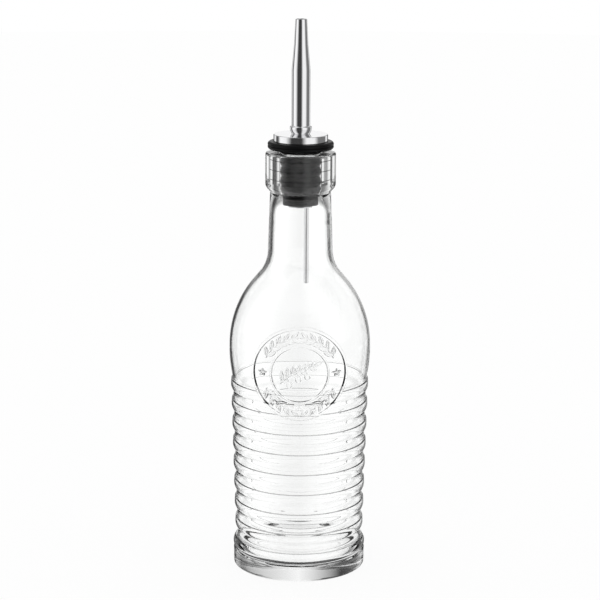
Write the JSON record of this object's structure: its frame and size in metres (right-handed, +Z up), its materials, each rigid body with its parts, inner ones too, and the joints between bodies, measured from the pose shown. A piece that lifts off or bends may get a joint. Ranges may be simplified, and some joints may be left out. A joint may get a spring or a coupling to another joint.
{
  "type": "glass oil bottle with pourer",
  "caption": "Clear glass kitchen bottle with a ringed body, a raised round medallion, and a rubber stopper that carries a tapered steel spout.",
  "frame": {"origin": "centre of the bottle's flat underside", "axes": "+Z up along the bottle's axis, -Y is the front, where the round medallion is, +X to the right as seen from the front"},
  "size_m": [0.0642, 0.0646, 0.251],
  "materials": {
    "clear_glass": "clear pressed-and-blown glass, polished",
    "black_rubber": "satin moulded rubber",
    "collar_steel": "turned and lightly polished stainless steel",
    "tube_steel": "drawn stainless steel tube",
    "spout_steel": "polished stainless steel"
  },
  "bodies": {
    "bottle": {"glass_bottle": "clear_glass"},
    "stopper": {"rubber_stopper": "black_rubber"},
    "pourer": {"collar_cap": "collar_steel", "stem_tube": "tube_steel", "pour_spout": "spout_steel", "air_tube": "tube_steel"}
  },
  "joints": [
    {"name": "stopper_lift", "type": "slide", "parent": "bottle", "child": "stopper", "axis": [0, 0, 1], "range_m": [0, 0.07]},
    {"name": "spout_twist", "type": "hinge", "parent": "stopper", "child": "pourer", "pos_m": [0, 0, 0.2], "axis": [0, 0, 1], "continuous": true}
  ]
}
